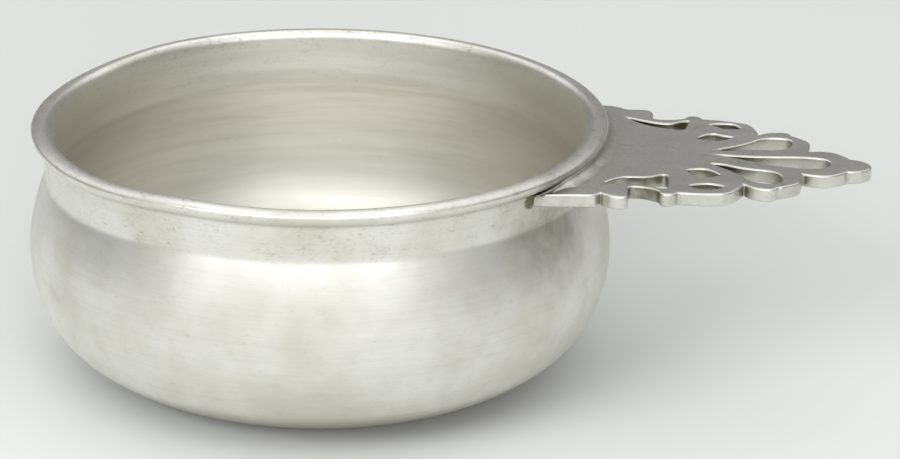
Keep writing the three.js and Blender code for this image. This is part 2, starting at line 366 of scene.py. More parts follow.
def sagged(tree, source, radius, height, angle):
    """The radius and the height after the knock that the rim once took."""
    off = add(tree, MATH, angle, source["Sag turn"], operation="SUBTRACT")
    facing = add(tree, MATH, off, operation="COSINE")
    beside = add(tree, RANGE, facing, math.cos(sag_reach), math.cos(sag_flat),
                 interpolation_type="SMOOTHSTEP")
    above = add(tree, RANGE, height, belly_height, crease_height, interpolation_type="SMOOTHSTEP")
    bent = add(tree, MATH, beside, above, operation="MULTIPLY")
    spread = add(tree, MATH, bent, source["Spread"], operation="MULTIPLY")
    drop = add(tree, MATH, bent, source["Sag"], operation="MULTIPLY")
    wider = add(tree, MATH, radius, spread, operation="ADD")
    lower = add(tree, MATH, height, drop, operation="SUBTRACT")
    return wider, lower


def wavered(tree, source, place, outward, height):
    """The place after the waver of the wall."""
    drift = add(tree, NOISE, {"Vector": place, "Scale": source["Waver scale"], "Detail": waver_detail},
                noise_dimensions="3D")
    centred = add(tree, MATH, drift, 0.5, operation="SUBTRACT")
    swing = add(tree, MATH, centred, source["Waver"], operation="MULTIPLY")
    upper = add(tree, MATH, height, bowl_height, operation="DIVIDE")
    clear = add(tree, MATH, swing, upper, operation="MULTIPLY")
    push = add(tree, VECTOR, {0: outward, "Scale": clear}, operation="SCALE")
    return add(tree, VECTOR, place, push, operation="ADD")


print("the knock fades out this far round the rim, mm:", round(rim_radius * sag_reach / MM))

# %% [markdown]
# The whole tree: each point of the grid looks up its row's radius and height, is knocked, turned by its
# column's angle and wavered. The tree also stores how far along the line each point lies, so that the
# finish can tell the inside from the outside. Last, the seam and both poles are merged shut.

# %% A tree that spins a profile
merge_gap = 0.005 * MM
spin_inputs = {
    "Steps": "NodeSocketInt",
    "Sag": "NodeSocketFloat",
    "Sag turn": "NodeSocketFloat",
    "Spread": "NodeSocketFloat",
    "Waver": "NodeSocketFloat",
    "Waver scale": "NodeSocketFloat",
    "Finish": "NodeSocketMaterial",
}


def turning_tree():
    """A node tree that spins a profile line about Z into one closed body."""
    tree, source = tree_with_inputs("Spin a profile", spin_inputs)
    count = add(tree, "GeometryNodeAttributeDomainSize", source["Geometry"], out="Point Count")
    grid, row, angle = spun_grid(tree, source["Steps"], count)
    point = add(tree, "GeometryNodeInputPosition")
    looked = add(tree, "GeometryNodeSampleIndex",
                 {"Geometry": source["Geometry"], "Value": point, "Index": row}, data_type="FLOAT_VECTOR")
    line_radius = add(tree, "ShaderNodeSeparateXYZ", looked, out=0)
    line_height = add(tree, "ShaderNodeSeparateXYZ", looked, out=2)
    radius, height = sagged(tree, source, line_radius, line_height, angle)
    cosine = add(tree, MATH, angle, operation="COSINE")
    sine = add(tree, MATH, angle, operation="SINE")
    across = add(tree, MATH, radius, cosine, operation="MULTIPLY")
    along = add(tree, MATH, radius, sine, operation="MULTIPLY")
    turned = add(tree, "ShaderNodeCombineXYZ", across, along, height)
    outward = add(tree, "ShaderNodeCombineXYZ", cosine, sine)
    place = wavered(tree, source, turned, outward, line_height)
    moved = add(tree, "GeometryNodeSetPosition", {"Geometry": grid, "Position": place})
    last_row = add(tree, MATH, count, 1.0, operation="SUBTRACT")
    share = add(tree, MATH, row, last_row, operation="DIVIDE")
    marked = add(tree, "GeometryNodeStoreNamedAttribute",
                 {"Geometry": moved, "Name": "along", "Value": share}, data_type="FLOAT", domain="POINT")
    merged = add(tree, "GeometryNodeMergeByDistance", {"Geometry": marked, "Distance": merge_gap})
    smooth = add(tree, "GeometryNodeSetShadeSmooth", merged)
    real = add(tree, "GeometryNodeRealizeInstances", smooth)
    dressed = add(tree, "GeometryNodeSetMaterial", {"Geometry": real, "Material": source["Finish"]})
    add(tree, "NodeGroupOutput", dressed)
    return tree


spin_tree = turning_tree()
print("nodes in the spinning tree:", len(spin_tree.nodes))

# %% [markdown]
# A piece that is made by nodes or drawn as a curve ends as a plain mesh. Spinning can turn a shape inside
# out, so each finished mesh is also turned to face outwards, and its open edges are counted: a closed
# body has none.

# %% From a modifier to a plain mesh
def with_nodes(name, mesh, tree, values):
    """A plain mesh object: the tree's result on the given mesh, with the modifier gone."""
    carrier = bpy.data.objects.new(name, mesh)
    bpy.context.collection.objects.link(carrier)
    modifier = carrier.modifiers.new("Nodes", "NODES")
    modifier.node_group = tree
    for socket in tree.interface.items_tree:
        if getattr(socket, "in_out", "") == "INPUT" and socket.name in values:
            modifier[socket.identifier] = values[socket.name]
    seen = carrier.evaluated_get(bpy.context.evaluated_depsgraph_get())
    result = bpy.data.meshes.new_from_object(seen)
    carrier.modifiers.clear()
    carrier.data = result
    return carrier


def facing_out(mesh):
    """Turns every face of a closed mesh outwards and says how many edges are open, and its volume."""
    body = bmesh.new()
    body.from_mesh(mesh)
    bmesh.ops.recalc_face_normals(body, faces=body.faces)
    open_edges = sum(1 for e in body.edges if len(e.link_faces) != 2)
    if body.calc_volume(signed=True) < 0:
        bmesh.ops.reverse_faces(body, faces=body.faces)
    volume = body.calc_volume(signed=True)
    body.to_mesh(mesh)
    body.free()
    return f"{open_edges} open edges, {volume / MM ** 3 / 1000:.2f} cm3"


print("helpers:", with_nodes.__name__, facing_out.__name__)

# %% [markdown]
# Pewter is an alloy of tin. Scoured and rubbed for years, it is a soft grey metal with a satin sheen:
# reflections are there but blurred, and a little warmer where an oxide film has built up. One flat grey
# would look like plastic. So the shader is metal all through, and its colour is a stack of thin layers,
# each laid on by a pattern with a real size: clouds of oxide some 20 mm wide, finer blotches, specks,
# and the marks of the tool or the file. A noise runs from 0 to 1 but mostly stays between 0.3 and 0.7.

# %% Pewter helpers
# Colour of painted shade with some dirt: in corners, under the ear, low on the foot and on the ear's
# walls.
shade_and_dirt_colour = "#77725f"
relief_depth = 0.02 * MM
most_noise = (0.3, 0.7)


def material(name):
    """An empty node material and its tree."""
    made = bpy.data.materials.new(name)
    made.use_nodes = True
    made.node_tree.nodes.clear()
    return made, made.node_tree


def per_metre(size_mm):
    """The noise scale whose blotches are about that many millimetres across."""
    return 1 / (size_mm * MM)


def layered(tree, base, rows):
    """A colour under thin layers. Each row is a pattern, its low and high, what shows there, a colour."""
    for pattern, low, high, least, most, colour in rows:
        amount = add(tree, RANGE, pattern, low, high, least, most)
        base = add(tree, MIX, {0: amount, 6: base, 7: linear(colour)}, out=2, data_type="RGBA")
    return base


print("scale of a 20 mm cloud, per metre:", round(per_metre(20), 1))

# %% [markdown]
# Corners are painted darker, as painted shade with some dirt: the less of the room can reach a place, the
# darker it is, and the ambient occlusion node measures just that from every side. A few darker patches of
# painted shade, some with grime, have a place of their own, so there is also a soft round spot. The last
# helper joins colour, roughness and relief in a metal shader.

# %% Painted shade in corners, spots and the metal shader
def corners(tree, reach, hidden, clear):
    """Painted shade with some soiling: 1 deep in a corner and 0 in the open, from how much of the room is
    hidden.
    """
    seen = add(tree, "ShaderNodeAmbientOcclusion", {"Distance": reach}, out="AO", samples=8)
    return add(tree, RANGE, seen, hidden, clear, 1.0, 0.0)


def spot(tree, place, middle, reach):
    """1 at a place on the piece, fading to 0 at a distance."""
    away = add(tree, VECTOR, place, middle, out="Value", operation="DISTANCE")
    return add(tree, RANGE, away, 0.0, reach, 1.0, 0.0, interpolation_type="SMOOTHSTEP")


def finish_metal(tree, colour, dull, relief, strength, extra):
    """A metal shader with its colour, roughness and relief, joined to the output."""
    bump = add(tree, "ShaderNodeBump", {"Strength": strength, "Distance": relief_depth, "Height": relief})
    shader = add(tree, "ShaderNodeBsdfPrincipled",
                 {"Base Color": colour, "Metallic": 1.0, "Roughness": dull, "Normal": bump, **extra})
    add(tree, "ShaderNodeOutputMaterial", shader)


print("relief of the finishes, micrometres:", round(relief_depth / MM * 1000))

# %% [markdown]
# The bowl was turned, so its marks run round the axis. A plain noise can't do that, but a 4D one can:
# the direction from the axis gives two of its coordinates, the height a third and the radius the
# fourth, each with a scale of its own. So a streak is some 14 mm long and half a millimetre wide on the
# wall, on the lip and on the floor alike, with no seam anywhere. The real lines are finer; they are
# drawn as coarse as the picture can show. Flecks are short streaks. Clouds and blotches are plain noise,
# given as rows of their size in millimetres, their detail and their roughness.

# %% Patterns on the turned bowl
inside_edge_share = 0.02
fine_row = (14, 0.45, 3.0)
broad_row = (45, 3.2, 3.0)
fleck_row = (1.1, 0.55, 2.0)
streak_roughness_share = 0.6
cloud_rows = [(20, 3.0, 0.55), (4.5, 4.0, 0.55)]


def streaks(tree, at, row):
    """Noise drawn out round the axis. The row is the streaks' length and width in mm, and a detail."""
    long_mm, wide_mm, detail = row
    length = belly_radius / (long_mm * MM)
    around = add(tree, VECTOR, {0: at.direction, "Scale": length}, operation="SCALE")
    rise = add(tree, MATH, at.height, per_metre(wide_mm), operation="MULTIPLY")
    place = add(tree, VECTOR, around, add(tree, "ShaderNodeCombineXYZ", {"Z": rise}), operation="ADD")
    outward = add(tree, MATH, at.radius, per_metre(wide_mm), operation="MULTIPLY")
    return add(tree, NOISE, {"Vector": place, "W": outward, "Scale": 1.0, "Detail": detail,
                             "Roughness": streak_roughness_share}, noise_dimensions="4D")


def on_the_bowl(tree):
    """Where a point lies on the bowl, and the patterns that its finish is mixed from."""
    at = SimpleNamespace(place=add(tree, "ShaderNodeTexCoord", out="Object"))
    flat = add(tree, VECTOR, at.place, (1.0, 1.0, 0.0), operation="MULTIPLY")
    at.radius = add(tree, VECTOR, flat, out="Value", operation="LENGTH")
    at.direction = add(tree, VECTOR, flat, operation="NORMALIZE")
    at.height = add(tree, "ShaderNodeSeparateXYZ", at.place, out=2)
    along = add(tree, "ShaderNodeAttribute", out="Fac", attribute_name="along")
    at.inside = add(tree, RANGE, along, lip_end_share - inside_edge_share,
                    lip_end_share + inside_edge_share, 0.0, 1.0)
    at.fine, at.broad, at.flecks = [streaks(tree, at, row) for row in (fine_row, broad_row, fleck_row)]
    at.clouds, at.blotches = [
        add(tree, NOISE, {"Vector": at.place, "Scale": per_metre(size), "Detail": detail,
                          "Roughness": rough}) for size, detail, rough in cloud_rows]
    return at


print("fine streaks round the belly:", round(math.tau * belly_radius / (fine_row[0] * MM)))

# %% [markdown]
# The inside is painted much lighter than the outside, partly for years of scouring and partly as painted
# light. It is a little darker low down. At its two ends, left and right as the camera sees them, it is
# painted darker with a warmer grey, as painted shade for the dim sides of the room that those walls
# mirror. The collar and the lip are strewn with small dark flecks.
# These patterns are products of simple ramps over the height, the direction and the noises. A pair of
# numbers says where a ramp starts and ends, and a share says how much it then shows.

# %% Painted shade inside, and flecks on the bowl
# The camera's left-right axis: the inside is painted darker towards its ends along it, as painted shade.
camera_side_axis = (math.cos(ear_turn), math.sin(ear_turn), 0.0)
side_shade_low, side_shade_high = 8 * MM, 30 * MM
dim_low, dim_high = 14 * MM, 30 * MM
flecks_low, flecks_high = crease_height - 2 * MM, crease_height + 1 * MM
lip_low, lip_high = bowl_height - lip_height, bowl_height - outer_roll_drop
facing_ends = (0.35, 0.95)
scoured_streaks = (0.44, 0.64)
dim_share, side_shade_share, scoured_share = 0.85, 0.9, 0.24
fleck_edge, fleck_patches = (0.5, 0.68), (0.42, 0.66)
fleck_share_between = 0.1
fleck_shares = (0.1, 0.42)
fleck_share_inside, fleck_share_on_lip = 0.35, 0.22


def inside_shades_and_streaks(tree, at):
    """How much darker the inside is low down, its painted shade at both ends, and its scoured streaks."""
    # Painted shade at the two ends of the inside, left and right as the camera sees them.
    facing = add(tree, VECTOR, at.direction, camera_side_axis, out="Value", operation="DOT_PRODUCT")
    facing = add(tree, MATH, facing, operation="ABSOLUTE")
    ends = add(tree, RANGE, facing, *facing_ends, interpolation_type="SMOOTHSTEP")
    upper = add(tree, RANGE, at.height, side_shade_low, side_shade_high, 0.0, side_shade_share)
    side_shade = add(tree, MATH, ends, upper, operation="MULTIPLY")
    # Darker low inside.
    dim_low_inside = add(tree, RANGE, at.height, dim_low, dim_high, dim_share, 0.0)
    scoured = add(tree, RANGE, at.broad, *scoured_streaks, 0.0, scoured_share)
    patterns = (dim_low_inside, side_shade, scoured)
    return [add(tree, MATH, pattern, at.inside, operation="MULTIPLY") for pattern in patterns]


def strewn_flecks(tree, at):
    """Small dark flecks: few on the belly and inside, more on the collar, most on the lip."""
    upper = add(tree, RANGE, at.height, flecks_low, flecks_high, *fleck_shares)
    outer = add(tree, RANGE, at.inside, 0.0, 1.0, 1.0, fleck_share_inside)
    share = add(tree, MATH, upper, outer, operation="MULTIPLY")
    on_lip = add(tree, RANGE, at.height, lip_low, lip_high, 0.0, fleck_share_on_lip)
    share = add(tree, MATH, share, on_lip, operation="ADD")
    sharp = add(tree, RANGE, at.flecks, *fleck_edge, 0.0, 1.0)
    patchy = add(tree, RANGE, at.blotches, *fleck_patches, fleck_share_between, 1.0)
    sharp = add(tree, MATH, sharp, patchy, operation="MULTIPLY")
    return add(tree, MATH, sharp, share, operation="MULTIPLY")


print("flecks thicken between these heights, mm:", round(flecks_low / MM, 1), round(flecks_high / MM, 1))

# %% [markdown]
# The bowl is painted darker under the ear, in the notch where the ear's root meets the collar, and in
# every tight corner: painted shade with some grime. Low on the foot it is painted darker too, as painted
# shade for the shadowed floor that the foot mirrors where the bowl stands. The resting disc itself is
# rubbed by the table, so its grime is mottled. Where two kinds meet, the thicker one shows, which is a
# maximum and not a sum. The painted shade under the ear has a place but no side, so it also dims the
# inside of the thin wall there.

# %% Painted shade and grime on the bowl
under_ear_middle, under_ear_reach = Vector((57, -27, 49)) * MM, 21 * MM
notch_middle, notch_reach = Vector((51.6, -32.3, 54.1)) * MM, 3.3 * MM
foot_low, foot_high = 4 * MM, 11 * MM
disc_low, disc_high = 0.1 * MM, 0.8 * MM
bowl_corner_reach = 1.6 * MM
under_ear_shares = (0.3, 0.75)
notch_fleck_share, notch_edge = 0.9, (0.6, 1.1)
disc_blotch_share, disc_patches, disc_shares = 0.6, (0.62, 0.98), (0.45, 0.85)
bowl_corner_edge, bowl_corner_share = (0.35, 0.75), 0.75


def ear_shade_and_grime(tree, at):
    """Painted shade with some soiling under the ear, and a speckled dark spot of painted shade and
    soiling in the notch at the ear's root.
    """
    # Painted shade, with some grime, under the ear.
    under = spot(tree, at.place, under_ear_middle, under_ear_reach)
    patchy = add(tree, RANGE, at.blotches, *most_noise, *under_ear_shares)
    under = add(tree, MATH, under, patchy, operation="MULTIPLY")
    # Painted shade, with some grime, in the notch at the ear's root.
    notch = spot(tree, at.place, notch_middle, notch_reach)
    speckled = add(tree, MATH, at.flecks, notch_fleck_share, operation="MULTIPLY")
    notch = add(tree, MATH, notch, speckled, operation="ADD")
    notch = add(tree, RANGE, notch, *notch_edge, 0.0, 1.0)
    return add(tree, MATH, under, notch, operation="MAXIMUM")


def foot_shade_and_disc_grime(tree, at):
    """Painted shade low on the outside, and mottled soiling on the resting disc."""
    # Painted shade: darker towards the bottom of the outside.
    low = add(tree, RANGE, at.height, foot_low, foot_high, 1.0, 0.0)
    outside = add(tree, RANGE, at.inside, 0.0, 1.0, 1.0, 0.0)
    low = add(tree, MATH, low, outside, operation="MULTIPLY")
    blotched = add(tree, MATH, at.blotches, disc_blotch_share, operation="MULTIPLY")
    cloudy = add(tree, MATH, at.clouds, blotched, operation="ADD")
    mottled = add(tree, RANGE, cloudy, *disc_patches, *disc_shares)
    off_disc = add(tree, RANGE, at.height, disc_low, disc_high, 0.0, 1.0)
    rested = add(tree, MATH, mottled, off_disc, operation="MAXIMUM")
    return add(tree, MATH, low, rested, operation="MULTIPLY")


def bowl_shade_and_grime(tree, at):
    """All painted shade and soiling on the bowl: the thickest of each kind."""
    # Painted shade with some dirt in tight corners of the bowl.
    corner_shade = corners(tree, bowl_corner_reach, *bowl_corner_edge)
    corner_shade = add(tree, MATH, corner_shade, bowl_corner_share, operation="MULTIPLY")
    found = add(tree, MATH, ear_shade_and_grime(tree, at), foot_shade_and_disc_grime(tree, at), operation="MAXIMUM")
    return add(tree, MATH, found, corner_shade, operation="MAXIMUM")


print("the foot's grime ends this high, mm:", round(foot_high / MM, 1))

# %% [markdown]
# The bowl's finish puts it all together. Its roughness is about 0.43, and less on the rubbed lip.
# Fine grooves also spread a reflection across themselves, which is what the anisotropic highlight does,
# with its tangent up and down the wall; a plain noise bump alone would only make it grainy.

# %% Turned pewter for the bowl
cloud_roughness = (0.4, 0.46)
streak_roughness = 0.03
lip_polish = 0.08
inside_dulling = 0.02
groove_anisotropy = 0.5
groove_relief = 0.22
fleck_depth = 0.8


def bowl_roughness(tree, at):
    """Roughness from the clouds and the fine streaks, lower on the lip and higher inside."""
    cloudy = add(tree, RANGE, at.clouds, *most_noise, *cloud_roughness)
    streaky = add(tree, RANGE, at.fine, *most_noise, -streak_roughness, streak_roughness)
    dull = add(tree, MATH, cloudy, streaky, operation="ADD")
    inner = add(tree, MATH, at.inside, inside_dulling, operation="MULTIPLY")
    dull = add(tree, MATH, dull, inner, operation="ADD")
    rubbed = add(tree, RANGE, at.height, lip_low, lip_high, 0.0, lip_polish)
    return add(tree, MATH, dull, rubbed, operation="SUBTRACT")


def turned_finish():
    """Turned and rubbed pewter: streaks round the axis, oxide clouds, flecks, an inside painted lighter,
    and painted shade with some soiling.
    """
    made, tree = material("Turned and rubbed pewter")
    at = on_the_bowl(tree)
    dim_low_inside, side_shade, scoured = inside_shades_and_streaks(tree, at)
    strewn = strewn_flecks(tree, at)
    body = layered(tree, linear("#edece8"), [
        (at.clouds, 0.38, 0.66, 0.0, 1.0, "#dbd9d0"),
        (at.blotches, 0.45, 0.75, 0.0, 0.2, "#cfccc0"),
        (at.broad, 0.4, 0.75, 0.0, 0.16, "#cfccc0"),
        (at.fine, 0.45, 0.8, 0.0, 0.16, "#bdbaad"),
        # The inside painted nearly white: partly scouring, partly painted light.
        (at.inside, 0.0, 1.0, 0.0, 0.95, "#fbfaf4"),
        # Darker low inside.
        (dim_low_inside, 0.0, 1.0, 0.0, 1.0, "#c6c4bb"),
        # Painted shade at the inside's two ends, left and right as the camera sees them.
        (side_shade, 0.0, 1.0, 0.0, 1.0, "#cac8be"),
        (scoured, 0.0, 1.0, 0.0, 1.0, "#c3c0b2"),
        (strewn, 0.0, 1.0, 0.0, 1.0, "#a19d8e"),
        # Painted shade with some grime: under the ear, in its notch, low on the foot and in corners.
        (bowl_shade_and_grime(tree, at), 0.0, 1.0, 0.0, 1.0, shade_and_dirt_colour),
    ])
    sunk = add(tree, MATH, strewn, fleck_depth, operation="MULTIPLY")
    relief = add(tree, MATH, at.fine, sunk, operation="SUBTRACT")
    level = add(tree, VECTOR, (0.0, 0.0, 1.0), at.direction, operation="CROSS_PRODUCT")
    normal = add(tree, "ShaderNodeNewGeometry", out="Normal")
    upward = add(tree, VECTOR, normal, level, operation="CROSS_PRODUCT")
    finish_metal(tree, body, bowl_roughness(tree, at), relief, groove_relief,
                 {"Anisotropic": groove_anisotropy, "Tangent": upward})
    return made


turned_pewter = turned_finish()
print("nodes in the bowl's finish:", len(turned_pewter.node_tree.nodes))

# %% [markdown]
# The ear, its seam and its bracket were cast and then filed, or left as they came. Their marks have no
# direction, so plain noise will do: clouds, blotches, specks, and painted shade with some dirt in the
# corners, which settles in the piercings and along the lip by itself. It is thicker on upright walls, so
# the walls of the piercings are painted darker than the level top, and a few darker patches of painted
# shade are laid on them. One function makes all three finishes from a few values, and its plain noises
# are rows of a size in millimetres, a detail and a roughness.

# %% Cast, filed and fused pewter
ear_corner_reach = 8 * MM
ear_corner_edge = (0.4, 0.97)
steepness = (0.3, 0.8)
shade_and_dirt_shares = (0.95, 0.4)
wall_shade_share_on_top = 0.1
wall_shade_patches, wall_shade_share_between = (0.35, 0.6), 0.5
speck_edge, speck_patches, speck_share_between = (0.58, 0.7), (0.4, 0.65), 0.1
pit_depth = 0.8
patchiness = 0.03
grain_noise, graininess = (0.35, 0.65), 0.014
cast_rows = [(16, 3.0, 0.55), (3, 4.0, 0.55), (0.6, 2.0, 0.55), (1.1, 3.0, 0.55), (0.5, 3.0, 0.7)]


def wall_shade_spots(tree, at, shade_and_dirt, spots):
    """Painted shade with some soiling, and a few patches of painted shade added, which show on upright
    walls and hardly on level ones.
    """
    steep = add(tree, RANGE, at.level, *steepness, 1.0, wall_shade_share_on_top)
    patchy = add(tree, RANGE, at.blotches, *wall_shade_patches, wall_shade_share_between, 1.0)
    on_walls = add(tree, MATH, steep, patchy, operation="MULTIPLY")
    for middle, reach in spots:
        # A patch of painted shade at a given place on the walls.
        wall_shade = add(tree, MATH, spot(tree, at.place, middle, reach), on_walls, operation="MULTIPLY")
        shade_and_dirt = add(tree, MATH, shade_and_dirt, wall_shade, operation="MAXIMUM")
    return shade_and_dirt


def cast_finish(name, light, dark, roughness, speck_share, strength, spots=()):
    """Cast pewter with clouds of oxide, specks, and painted shade with some soiling in its corners and at
    given spots.
    """
    made, tree = material(name)
    at = SimpleNamespace(place=add(tree, "ShaderNodeTexCoord", out="Object"))
    normal = add(tree, "ShaderNodeNewGeometry", out="Normal")
    slope = add(tree, "ShaderNodeSeparateXYZ", normal, out=2)
    at.level = add(tree, MATH, slope, operation="ABSOLUTE")
    clouds, at.blotches, specks, grain, pits = [
        add(tree, NOISE, {"Vector": at.place, "Scale": per_metre(size), "Detail": detail,
                          "Roughness": rough}) for size, detail, rough in cast_rows]
    sharp = add(tree, RANGE, specks, *speck_edge, 0.0, 1.0)
    between = speck_share_between * speck_share
    patchy = add(tree, RANGE, at.blotches, *speck_patches, between, speck_share)
    strewn = add(tree, MATH, sharp, patchy, operation="MULTIPLY")
    # Painted shade with some dirt: more on upright walls, less on the level top.
    kept = add(tree, RANGE, at.level, *steepness, *shade_and_dirt_shares)
    corner_shade = corners(tree, ear_corner_reach, *ear_corner_edge)
    shade_and_dirt = add(tree, MATH, corner_shade, kept, operation="MULTIPLY")
    body = layered(tree, linear(light), [
        (clouds, 0.35, 0.7, 0.0, 1.0, dark),
        (at.blotches, 0.42, 0.72, 0.0, 0.4, "#b3b1a5"),
        (strewn, 0.0, 1.0, 0.0, 1.0, "#7d7a6d"),
        # Painted shade with some dirt on the walls and in the corners.
        (wall_shade_spots(tree, at, shade_and_dirt, spots), 0.0, 1.0, 0.0, 1.0, shade_and_dirt_colour),
    ])
    dull = add(tree, RANGE, at.blotches, *most_noise, roughness - patchiness, roughness + patchiness)
    grainy = add(tree, RANGE, grain, *grain_noise, -graininess, graininess)
    dull = add(tree, MATH, dull, grainy, operation="ADD")
    sunk = add(tree, MATH, strewn, pit_depth, operation="MULTIPLY")
    relief = add(tree, MATH, pits, sunk, operation="SUBTRACT")
    finish_metal(tree, body, dull, relief, strength, {})
    return made


# Patches of painted shade on the walls of the piercings near the root.
ear_wall_shade_spots = [
    (Vector((73.5, -22.5, 54)) * MM, 9 * MM),
    (Vector((72.5, -17.2, 54)) * MM, 12 * MM),
]
filed_pewter = cast_finish("Cast and filed pewter", "#dddcd6", "#cfcec8", 0.3, 0.35, 0.2, ear_wall_shade_spots)
fused_pewter = cast_finish("Fused pewter", "#dddcd6", "#cccbc3", 0.32, 0.8, 0.4)
cast_pewter = cast_finish("As-cast pewter skin", "#aeaca2", "#98958a", 0.51, 0.9, 0.8)
print("finishes:", [m.name for m in (turned_pewter, filed_pewter, fused_pewter, cast_pewter)])

# %% [markdown]
# Now the bowl can be spun. The line becomes a mesh of points and edges, the tree turns it in 320 steps,
# which is fine enough that no flat shows on the lip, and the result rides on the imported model's only
# body and stands for its plain bowl.

# %% Spin the bowl
turn_steps = 320
profile_mesh = bpy.data.meshes.new("Bowl profile")
profile_mesh.from_pydata([(r, 0, z) for r, z in profile],
                         [(i, i + 1) for i in range(len(profile) - 1)], [])
bowl = with_nodes("pewter_bowl", profile_mesh, spin_tree, {
    "Steps": turn_steps,
    "Sag": 1.15 * MM,
    "Sag turn": math.radians(195),
    "Spread": 0.25 * MM,
    "Waver": 0.3 * MM,
    "Waver scale": per_metre(26),
    "Finish": turned_pewter,
})
print("bowl:", facing_out(bowl.data))
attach(bowl, "root")
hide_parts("bowl")

# %% [markdown]
# The ear is one flat casting. It could be cut from a plate with booleans, but a 2D curve object fills
# an outline, cuts its holes and rounds every edge by itself. So the edge is drawn as curves, in shares
# of the ear's length and half width. It is the same on both sides but for the lobe next to the lip,
# which was filed wider and notched on the right. Filing left every edge softened by half a millimetre.

# %% The ear's outline
# Each row is a curve's control point and its end, along the ear from the lip and across from its axis
ear_length = handle_high.x - rim_radius
ear_half_width = 29.8 * MM
ear_shift = 0.3 * MM
ear_top = handle_high.z
ear_thickness = handle_high.z - handle_low.z
edge_round = 0.45 * MM
left_start_share = (-0.05, 0.99)
right_start_share = (-0.2, 1.06)
left_root_shares = [
    ((-0.03, 0.99), (0.0, 0.955)),
    ((0.02, 0.928), (0.035, 0.93)),
    ((0.055, 0.945), (0.09, 0.945)),
    ((0.122, 0.94), (0.126, 0.86)),
    ((0.129, 0.8), (0.13, 0.775)),
]
right_root_shares = [
    ((-0.06, 1.01), (0.025, 0.985)),
    ((0.036, 0.945), (0.044, 0.927)),
    ((0.05, 0.945), (0.066, 0.958)),
    ((0.085, 0.99), (0.112, 0.994)),
    ((0.146, 0.99), (0.147, 0.95)),
    ((0.139, 0.86), (0.138, 0.79)),
]
edge_shares = [
    ((0.138, 0.748), (0.165, 0.747)),
    ((0.205, 0.746), (0.24, 0.79)),
    ((0.252, 0.81), (0.256, 0.845)),
    ((0.266, 0.872), (0.284, 0.872)),
    ((0.308, 0.868), (0.318, 0.828)),
    ((0.323, 0.81), (0.334, 0.818)),
    ((0.41, 0.82), (0.474, 0.784)),
    ((0.507, 0.77), (0.524, 0.695)),
    ((0.542, 0.63), (0.55, 0.545)),
    ((0.575, 0.61), (0.612, 0.624)),
    ((0.65, 0.65), (0.67, 0.6)),
    ((0.678, 0.555), (0.688, 0.56)),
    ((0.71, 0.52), (0.733, 0.488)),
    ((0.755, 0.45), (0.754, 0.365)),
    ((0.754, 0.3), (0.753, 0.245)),
    ((0.785, 0.272), (0.818, 0.27)),
    ((0.855, 0.27), (0.885, 0.206)),
    ((0.9, 0.18), (0.908, 0.162)),
    ((0.914, 0.13), (0.924, 0.14)),
    ((0.96, 0.125), (0.98, 0.085)),
    ((1.0, 0.05), (1.0, 0.0)),
]
print("the ear's length, half width and thickness, mm:",
      [round(v / MM, 1) for v in (ear_length, ear_half_width, ear_thickness)])

# %% [markdown]
# The nine piercings were sawn by hand, so the pairs beside the root differ from side to side and the
# drop in the middle leans. Only the two commas are alike. Copying one side would look too perfect.

# %% The ear's piercings
# Each piercing: the sides it lies on (1 is left, +Y), its start, then control and end of each curve
left, right = 1, -1
piercings = {
    "wedge beside the root, left": ((left,), (0.03, 0.745), [
        ((0.07, 0.66), (0.12, 0.605)),
        ((0.17, 0.56), (0.215, 0.55)),
        ((0.255, 0.53), (0.264, 0.57)),
        ((0.275, 0.67), (0.268, 0.75)),
        ((0.245, 0.74), (0.225, 0.69)),
        ((0.2, 0.64), (0.155, 0.66)),
        ((0.09, 0.69), (0.03, 0.745)),
    ]),
    "wedge beside the root, right": ((right,), (0.04, 0.72), [
        ((0.07, 0.6), (0.11, 0.56)),
        ((0.14, 0.545), (0.18, 0.54)),
        ((0.215, 0.515), (0.23, 0.48)),
        ((0.255, 0.43), (0.266, 0.5)),
        ((0.276, 0.6), (0.275, 0.735)),
        ((0.25, 0.755), (0.215, 0.722)),
        ((0.16, 0.68), (0.1, 0.7)),
        ((0.06, 0.71), (0.04, 0.72)),
    ]),
    "outer lens, left": ((left,), (0.353, 0.696), [
        ((0.375, 0.745), (0.425, 0.745)),
        ((0.455, 0.742), (0.475, 0.655)),
        ((0.44, 0.625), (0.408, 0.632)),
        ((0.39, 0.68), (0.353, 0.696)),
    ]),
    "outer lens, right": ((right,), (0.353, 0.641), [
        ((0.388, 0.726), (0.433, 0.697)),
        ((0.464, 0.681), (0.479, 0.624)),
        ((0.455, 0.589), (0.419, 0.582)),
        ((0.395, 0.592), (0.353, 0.641)),
    ]),
    "inner lens, left": ((left,), (0.325, 0.38), [
        ((0.352, 0.495), (0.384, 0.5)),
        ((0.41, 0.47), (0.455, 0.455)),
        ((0.425, 0.365), (0.395, 0.347)),
        ((0.36, 0.34), (0.325, 0.38)),
    ]),
    "inner lens, right": ((right,), (0.328, 0.32), [
        ((0.353, 0.442), (0.386, 0.458)),
        ((0.409, 0.458), (0.455, 0.39)),
        ((0.412, 0.285), (0.381, 0.278)),
        ((0.357, 0.285), (0.328, 0.32)),
    ]),
    "comma": ((left, right), (0.406, 0.15), [
        ((0.5, 0.28), (0.536, 0.37)),
        ((0.565, 0.49), (0.628, 0.492)),
        ((0.688, 0.492), (0.684, 0.39)),
        ((0.679, 0.24), (0.609, 0.226)),
        ((0.529, 0.219), (0.474, 0.17)),
        ((0.438, 0.14), (0.406, 0.15)),
    ]),
    "middle drop": ((left,), (0.42, 0.045), [
        ((0.56, 0.04), (0.7, 0.102)),
        ((0.85, 0.15), (0.845, 0.0)),
        ((0.84, -0.125), (0.74, -0.124)),
        ((0.65, -0.118), (0.58, -0.06)),
        ((0.52, -0.01), (0.42, 0.045)),
    ]),
}
print("piercings:", sum(len(sides) for sides, _, _ in piercings.values()))

